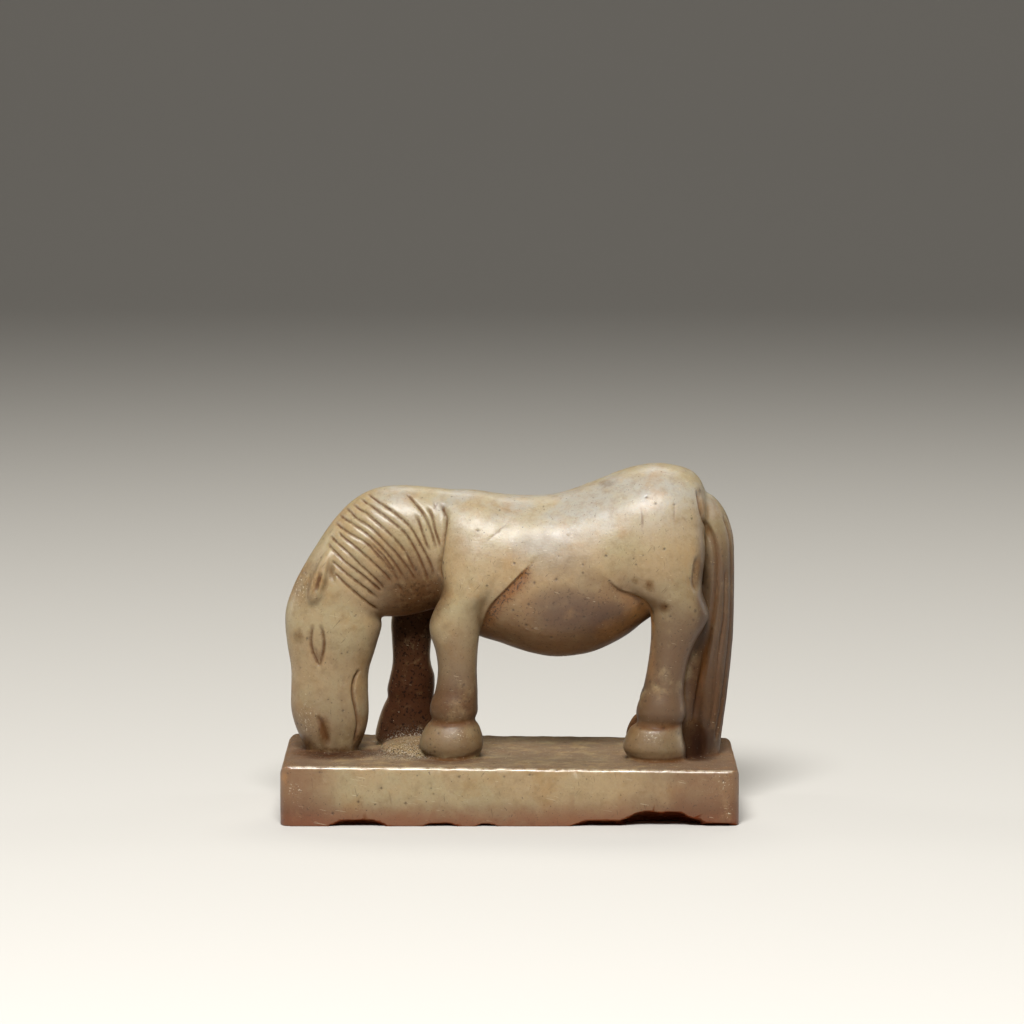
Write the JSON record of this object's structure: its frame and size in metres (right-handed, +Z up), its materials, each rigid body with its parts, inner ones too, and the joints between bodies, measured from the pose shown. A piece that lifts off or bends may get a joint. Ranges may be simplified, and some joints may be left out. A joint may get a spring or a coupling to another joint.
{
  "type": "horse seal",
  "caption": "Small hardstone seal whose handle is a grazing horse carved whole with its oblong plinth; the plinth's flat underside is the sealing face.",
  "frame": {"origin": "middle of the plinth's underside, which is the sealing face", "axes": "+X along the plinth towards the horse's tail, +Y towards the horse's right side, away from the side in the picture, +Z up"},
  "size_m": [0.0556, 0.025, 0.0428],
  "materials": {
    "nephrite": "polished"
  },
  "bodies": {
    "root": {"horse_seal": "nephrite"}
  },
  "joints": []
}
